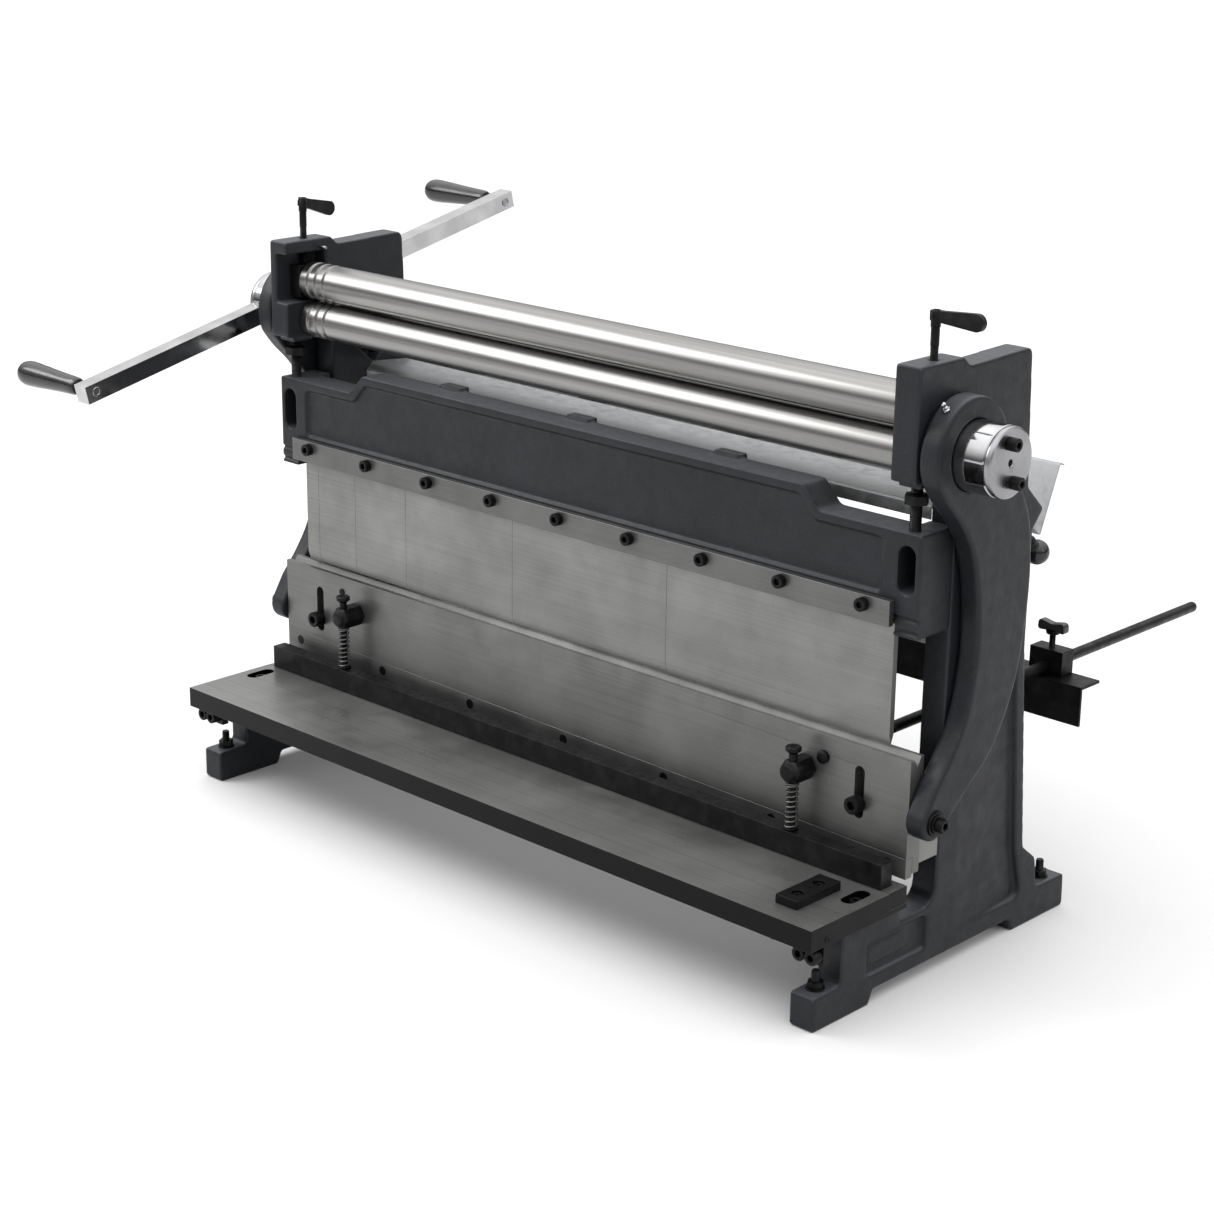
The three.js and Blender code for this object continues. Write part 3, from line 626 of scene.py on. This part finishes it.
def hub_cap(side, sign):
    """A round cap over the lever's bar, held by two screws."""
    foot = Vector(((HUB_X[1] + 0.3) * sign, *HUB[1:]))
    thick = 8.5
    face = [(4, 1), (4, 7.2), (4.6, 7.8), (6, 8.2), (34, thick), (37.5, 8.4), (39.4, 7.2),
            (HUB_R, 5.2), (HUB_R, 1.6), (39.4, 0.2), (34, 0)]
    add(f"hub_cap_disc_{side}", [turned(face, foot, (sign, 0, 0), 128)], SATIN, "main_shaft",
        [f"hub_cap_{side}"])
    top = foot + Vector((thick * sign, 0, 0))
    across = Vector((0, -math.sin(LEVER_TILT), math.cos(LEVER_TILT)))
    screws = [socket_head(top + across * offset, (sign, 0, 0), 7.6, 12, 3.6)
              for offset in (-23, 23)]
    add(f"hub_cap_screws_{side}", screws, BLACK, "main_shaft")


def lever():
    dress("lever_bar", CHROME, bevel=1.6)
    for end, station in GRIP_STATIONS.items():
        y = HUB[1] + station * math.cos(LEVER_TILT)
        z = HUB[2] + station * math.sin(LEVER_TILT)
        outline = [(8, 0), (10.4, 1), (11.6, 4), (12.2, 9), (12.6, 20), (13.3, 38), (14.4, 58),
                   (15.6, 78), (16.6, 96), (17, 106), (16.8, 113), (15.6, 119), (13.2, 123.5),
                   (10, 126.2), (9, 126.6), (8.6, 125.6), (8.4, 122), (3, 121.6)]
        add(f"grip_handle_{end}", [turned(outline, (GRIP_FROM, y, z), (-1, 0, 0), 64)],
            PLASTIC, f"{end}_grip", [f"grip_{end}"])
        rivet = turned([(6.6, -0.2), (6.6, 0.5), (6.0, 1.0), (4.2, 1.0), (3.6, 0.3), (2.4, 0.3)],
                       (LEVER_X[0], y, z), (1, 0, 0), 40)
        collar = turned([(9, 0), (9.6, 0.8), (9.6, 5), (8.8, 7.5), (7.4, 9), (6.2, 14.8)],
                        (LEVER_X[1], y, z), (-1, 0, 0), 40)
        add(f"spindle_ends_{end}", [rivet, collar], SATIN, "main_shaft")


def arm_bolts():
    for side, sign in SIDES.items():
        face = ARM_X[1] * sign
        shells = [
            washer((face, *BOSS[1:]), (sign, 0, 0), 15, 3),
            turned([(11, 3), (11.5, 3.4), (11.5, 4.4), (11, 5)], (face, *BOSS[1:]), (sign, 0, 0)),
            socket_head((face + 5 * sign, *BOSS[1:]), (sign, 0, 0), 8.5, 9, 4),
            turned([(7.6, -26), (7.6, 0)], (face, *BOSS[1:]), (sign, 0, 0)),
        ]
        add(f"arm_pivot_bolt_{side}", shells, BLACK, f"{side}_arm",
            [f"arm_bolt_{side}"])


# ---- Rolls ----
def roll_profile(journal, journal_to):
    """Left to right: centre hole, journal, body with three wire grooves, journal."""
    groove = ((-3, 0), (-2.6, 0.5), (-1.6, 2.4), (0, 3.2), (1.6, 2.4), (2.6, 0.5), (3, 0))
    chamfer = ROLL_R - 1.5, ROLL_HALF - 1.5
    profile = [(2.5, 4 - journal_to), (4, -journal_to), (journal - 1, -journal_to),
               (journal, 1 - journal_to), (journal, -ROLL_HALF), (chamfer[0], -ROLL_HALF),
               (ROLL_R, -chamfer[1])]
    for centre in (-493, -477, -461):
        profile += [(ROLL_R - depth, centre + offset) for offset, depth in groove]
    profile += [(ROLL_R, chamfer[1]), (chamfer[0], ROLL_HALF), (journal, ROLL_HALF),
                (journal, journal_to - 1)]
    return profile + [(journal - 1, journal_to), (4, journal_to), (2.5, journal_to - 4)]


def rolls():
    front = (("lower_roll", LOWER, 18, 544.8, "main_shaft"),
             ("upper_roll", UPPER, 12, 530, "upper_roller"))
    for node, axis, journal, journal_to, body in front:
        add(f"{node}_turned", [turned(roll_profile(journal, journal_to), axis, (1, 0, 0), 128)],
            ROLL, body, [node])
    half = [(ROLL_R, 506.5), (ROLL_R - 1.5, 508), (12, 508), (12, 529), (11, 530), (3, 530)]
    profile = [(r, -x) for r, x in reversed(half)] + half
    add("rear_roll_turned", [turned(profile, REAR, (1, 0, 0), 96)], ROLL, "rear_roller",
        ["rear_roll"])


def crank_screws():
    """Threaded stems with a flat paddle pinned in a slotted top."""
    poses = {"left": (math.radians(99), math.radians(15)), "right": (0.0, 0.0)}
    for side, (turn, droop) in poses.items():
        top = Vector((SIDES[side] * FRAME_MID, UPPER[1], 781))
        profile = [(4.7, -81.5)] + threads(4.7, -81, -34)
        profile += [(4.9, -33), (4.9, -13), (5.6, -12), (5.6, 5), (5, 6)]
        stem = turned(profile, top, (0, 0, 1), 40)
        corners = [(-6, -6, 2), (10, -7), (64, -11, 10), (64, 10, 10), (10, 6), (-6, 6, 2)]
        stand = Matrix.Translation(top) @ Matrix.Rotation(turn, 4, "Z")
        paddle = prism(rounded(corners, 10), "Y", -3.4, 3.4)
        paddle = moved(paddle, stand @ Matrix.Rotation(droop, 4, "Y"))
        pin = turned([(1.5, -8), (1.9, -7.6), (1.9, 7.6), (1.5, 8)], (0, 0, 0), (0, 1, 0), 24)
        add(f"crank_{side}", [stem, paddle, moved(pin, stand)], BLACK, f"{side}_crank",
            [f"crank_screw_{side}"], bevel=0.9)


def rear_knobs():
    """Ball knobs on threaded stems, at the lower ends of the rear roll's slides."""
    down = Vector((0, math.cos(REAR_TILT), math.sin(REAR_TILT)))
    for side, sign in SIDES.items():
        foot = Vector((sign * FRAME_MID, REAR[1], REAR[2]))
        profile = [(6, 20.4)] + threads(6, 24, 168) + [(6, 170), (8, 172), (8, 183)]
        stem = turned(profile, foot, down, 40)
        angles = [math.radians(32 + i * 7.5) for i in range(18)]
        ball = [(8, 181)] + [(15 * math.sin(a), 197 - 15 * math.cos(a)) for a in angles]
        ball.append((4, 211.6))
        add(f"rear_knob_{side}", [turned(ball, foot, down, 64)], PLASTIC, f"{side}_rear_knob",
            [f"rear_knob_screw_{side}"])
        add(f"rear_knob_stem_{side}", [stem], BLACK, f"{side}_rear_knob")


# ---- Sheet tray ----
def sheet_tray():
    """One folded sheet: front lip, shelf falling into a trough, and a rear wall with a hem."""
    under = [(-18.5, 541), (-18.5, 556.3, 1.5), (119.5, 543.4, 12), (200, 477.5, 3),
             (233.5, 559.6, 2), (241, 556.5)]
    over = [(241.6, 558), (232.6, 561.6, 3.5), (199.4, 480.2, 2), (120.2, 545, 12),
            (-20, 558, 3), (-20, 541)]
    tray = add("tray_sheet", [prism(rounded(under + over), "X", -505, 505)], ZINC, "frame",
               ["sheet_tray"])
    carve(tray, [prism([(-507, -22), (-446, -22), (-507, 43)], "Z", 530, 565)])
    soften(tray, 0.3, 2)


# ---- Back gauge ----
def back_gauge():
    for side, sign in SIDES.items():
        rod = [(5.5, -38), (7, -36.5), (7, 611), (6, 614), (5, 615)]
        add(f"gauge_bar_{side}", [turned(rod, (sign * ROD_X, 0, ROD_Z), (0, 1, 0), 48)], BLACK,
            "frame", [f"gauge_rod_{side}"])
        dress(f"gauge_block_{side}", BLACK, 0.8)
        gauge_knob(side, sign)
    dress("gauge_angle", BLACK, 0.8)


def gauge_knob(side, sign):
    """A moulded wing knob on a threaded stem."""
    x = sign * ROD_X
    wings = rounded([(x - 20, 333, 4), (x, 335, 14), (x + 20, 333, 4), (x + 19, 348, 5),
                     (x, 344, 16), (x - 19, 348, 5)])
    stem = turned([(4, 313.3)] + threads(4, 314, 330, 1.25, 0.45) + [(8, 330.4), (9, 334)],
                  (x, GAUGE_KNOB_Y, 0), (0, 0, 1), 40)
    add(f"wing_knob_{side}", [prism(wings, "Y", GAUGE_KNOB_Y - 6, GAUGE_KNOB_Y + 6)], PLASTIC,
        f"{side}_gauge_knob", [f"gauge_knob_{side}"], bevel=2.2, segments=4)
    add(f"wing_knob_stem_{side}", [stem], BLACK, f"{side}_gauge_knob")


# ---- Table ----
def table():
    dress("table", TABLE, 1.0)
    dress("lower_blade", TABLE, 0.4)
    dress("square_gauge", BLACK, 0.7)
    shells = [socket_head((489.5, y, TABLE_Z + 5.2), (0, 0, 1), 5.6, 3.6, 2.4)
              for y in (-212, -174)]
    shells += [socket_head((x, -156, TABLE_Z - 11.8), (0, 0, 1), 7.4, 8.5, 3.4)
               for x in (-528, 528)]
    for sign in SIDES.values():
        shells += table_corner(sign)
    add("table_screws", shells, BLACK, "frame")


def table_corner(sign):
    """Under a front corner: a lug with two screws, a screw upwards and a plug in the end."""
    low, high = sorted((sign * 511, sign * 550))
    lug = block((low, high), (-238, -228), (82, TABLE_UNDER))
    screws = [socket_head((sign * x, -238, 93), (0, -1, 0), 8.7, 12, 4) for x in (523, 541)]
    upwards = socket_head((sign * 488, -246, TABLE_UNDER), (0, 0, -1), 7, 6, 3.4)
    plug = turned([(3.6, -1), (3.9, 0.4), (3.4, 0.8), (2.4, 0.8, "hex"), (2.2, 0.2, "hex")],
                  (sign * 551, -234, 114), (sign, 0, 0), 36)
    return [lug, *screws, upwards, plug]


def foot_bolts():
    shells = []
    for sign in SIDES.values():
        for y in (-221, 214):
            at = (sign * FRAME_MID, y, 0)
            shells += [washer((*at[:2], 42), (0, 0, 1), 11, 2.4),
                       hex_nut((*at[:2], 44.4), (0, 0, 1), 8.5, 8),
                       turned([(5, 40)] + threads(5, 45, 64) + [(4.2, 65.2)], at, (0, 0, 1), 36)]
    add("foot_bolts", shells, BLACK, "frame")


# ---- Moving plate and hold-down ----
def blade_screw(x):
    """Nearly flush, because the plate passes 1 mm behind the lower blade."""
    seam = SEAM_Z[0] + (SEAM_Z[1] - SEAM_Z[0]) * (x + PLATE_HALF) / (2 * PLATE_HALF)
    profile = [(6.5, -0.2), (6.5, 0.12), (6.2, 0.2), (3.2, 0.2), (3, 0.18, "hex"),
               (2.8, 0.06, "hex"), (1, 0.05)]
    return turned(profile, (x, PLATE_FRONT, seam - 12), (0, -1, 0), 36)


def moving_plate():
    dress("moving_plate", PLATE, 0.5)
    dress("upper_blade", PLATE, 0.4)
    dress("guide_beam", GROUND, 0.8)
    for side, sign in SIDES.items():
        screw = socket_head((sign * 475, PLATE_FRONT - 0.4, 212), (0, -1, 0), 10.5, 14.6, 5,
                            shank=5.8, shank_length=23.6)
        add(f"guide_bolt_{side}", [screw], BLACK, "frame", [f"guide_screw_{side}"])
    add("blade_screws", [blade_screw(-520 + i * 173.3) for i in range(7)], BLACK, "moving_beam")
    button = turned([(8, 0), (8, 3.4), (7.2, 4.6), (5.6, 5.6), (3, 6.1), (1, 6.2)],
                    (422, PLATE_FRONT, 254), (0, -1, 0))
    pin = turned([(5, 0), (5, 1), (4.4, 1.5), (1.5, 1.6)], (-428, PLATE_FRONT, 260), (0, -1, 0))
    add("plate_pins", [button, pin], BLACK, "moving_beam")


def hold_down():
    """The sprung bar, hung by two bolts through hexagonal studs on the moving plate."""
    dress("hold_down_bar", BLACK, 0.8)
    for side, sign in SIDES.items():
        x = sign * HOLD_X
        eye = [(12.4, 0.3), (13.5, 1, "hex"), (13.5, 30, "hex"), (12, 33), (11, 34), (10.6, 35.6),
               (9, 37.4), (6.6, 38)]
        stud = add(f"hold_down_eye_{side}", [turned(eye, (x, PLATE_FRONT, STUD_Z), (0, -1, 0))],
                   BLACK, "moving_beam", [f"hold_down_stud_{side}"])
        carve(stud, [turned([(5.6, -20), (5.6, 20)], (x, HOLD_Y, STUD_Z), (0, 0, 1), 40)])
        bolt = [(8.2, BAR_TOP + 0.3), (9, BAR_TOP + 0.9), (9, BAR_TOP + 2.6), (8.6, BAR_TOP + 3)]
        bolt += [(5, BAR_TOP + 3)] + threads(5, 168, 222) + [(5, 223), (5, 258)]
        bolt += [(8.4, 261), (9.5, 262), (9.5, 265.6), (8.2, 267), (3.4, 267), (3, 266), (1, 265.8)]
        add(f"hold_down_screw_{side}", [turned(bolt, (x, HOLD_Y, 0), (0, 0, 1), 40)], BLACK,
            "hold_down", [f"hold_down_bolt_{side}"])
        spring(side, x)


def spring(side, x):
    """A compression spring with closed ends."""
    low, high, wire, radius, turns = BAR_TOP + 4.2, STUD_Z - 14.8, 1.0, 6.9, 10
    path = []
    for i in range(turns * 20 + 1):
        t = i / (turns * 20)
        eased = min(max((t * turns - 0.75) / (turns - 1.5), 0), 1)
        z = low + (high - low) * eased + 2 * wire * (0.75 * min(t * turns / 0.75, 1) - 0.75)
        angle = TAU * t * turns
        path.append(Vector((x + radius * math.cos(angle), HOLD_Y + radius * math.sin(angle),
                            max(z, low - wire * 0.3))))
    coil = bpy.data.objects.new(f"spring_coil_{side}", to_mesh("coil", [tube(path, wire, 8)]))
    bpy.context.scene.collection.objects.link(coil)
    coil.data.materials.append(CLAMP)
    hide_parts(f"hold_down_spring_{side}")
    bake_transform(coil)


# ---- Punches ----
def punches():
    for i in range(1, 7):
        dress(f"punch_{i}", GROUND, 0.25)
    dress("clamp_bar", CLAMP, 0.7)
    screws = [socket_head(((i - 4) * 119.37, CLAMP_FRONT, 454.5), (0, -1, 0), 8, 8.5, 3.9)
              for i in range(9)]
    add("clamp_bar_screws", screws, BLACK, "punch_beam")
    for side, sign in SIDES.items():
        at = (sign * FRAME_MID, JACK_Y, 0)
        jack = [(7, 544.8)] + threads(7, 546, 574, 2, 0.7) + [(11, 575)]
        jack += [(12.5, 575.8, "hex"), (12.5, 586.2, "hex"), (11, 587)]
        jack += threads(7, 588, 599.5, 2, 0.7)
        add(f"jack_bolt_{side}", [turned(jack, at, (0, 0, 1))], BLACK, "punch_beam",
            [f"jack_screw_{side}"])


def inner_parts():
    for side in SIDES:
        dress(f"upper_bearing_{side}", BLACK, 0.8)
        dress(f"rear_bearing_{side}", BLACK, 0.8)
    dress("lower_gear", BLACK, 0.3)
    dress("upper_gear", BLACK, 0.3)


# ---- Studio ----
def floor():
    reach = 40                   # metres
    corners = [(-reach, -reach, 0), (reach, -reach, 0), (reach, reach, 0), (-reach, reach, 0)]
    mesh = bpy.data.meshes.new("floor")
    mesh.from_pydata(corners, [], [(0, 1, 2, 3)])
    plane = bpy.data.objects.new("floor", mesh)
    bpy.context.scene.collection.objects.link(plane)
    pale = Finish("floor_paint", 0.0, 0.9, **{"Specular IOR Level": 0.1})
    pale.colour(pale.mix(pale.noise(2), (0.59, 0.59, 0.59), (0.61, 0.61, 0.61)))
    mesh.materials.append(pale.material)


def dome():
    """White light from above, fading to nearly none at the horizon."""
    world = bpy.data.worlds.new("studio")
    world.use_nodes = True
    tree = world.node_tree
    direction = tree.nodes.new("ShaderNodeTexCoord").outputs["Generated"]
    split = tree.nodes.new("ShaderNodeSeparateXYZ")
    tree.links.new(direction, split.inputs[0])
    fade = tree.nodes.new("ShaderNodeMapRange")
    fade.inputs["From Min"].default_value, fade.inputs["From Max"].default_value = 0.05, 0.9
    fade.inputs["To Min"].default_value, fade.inputs["To Max"].default_value = 0.05, 2.6
    tree.links.new(split.outputs["Z"], fade.inputs["Value"])
    tree.links.new(fade.outputs["Result"], tree.nodes["Background"].inputs["Strength"])
    tree.nodes["Background"].inputs["Color"].default_value = (1, 1, 1, 1)
    bpy.context.scene.world = world


def lamp(name, at, target, size, power):
    data = bpy.data.lights.new(name, "AREA")
    data.size, data.energy = size, power
    light = bpy.data.objects.new(name, data)
    light.location = at
    light.rotation_euler = (Vector(target) - Vector(at)).to_track_quat("-Z", "Y").to_euler()
    bpy.context.scene.collection.objects.link(light)


def studio():
    floor()
    dome()
    lamp("key", (-1.7, -1.4, 1.9), (-0.45, 0.0, 0.3), size=1.2, power=30)
    lamp("side", (3.4, 0.3, 1.6), (0.4, 0.0, 0.5), size=0.9, power=5)
    bpy.context.scene.view_settings.view_transform = "Standard"


side_frames()
crosshead()
arms()
hubs()
lever()
arm_bolts()
rolls()
crank_screws()
rear_knobs()
sheet_tray()
back_gauge()
table()
foot_bolts()
moving_plate()
hold_down()
punches()
inner_parts()
studio()
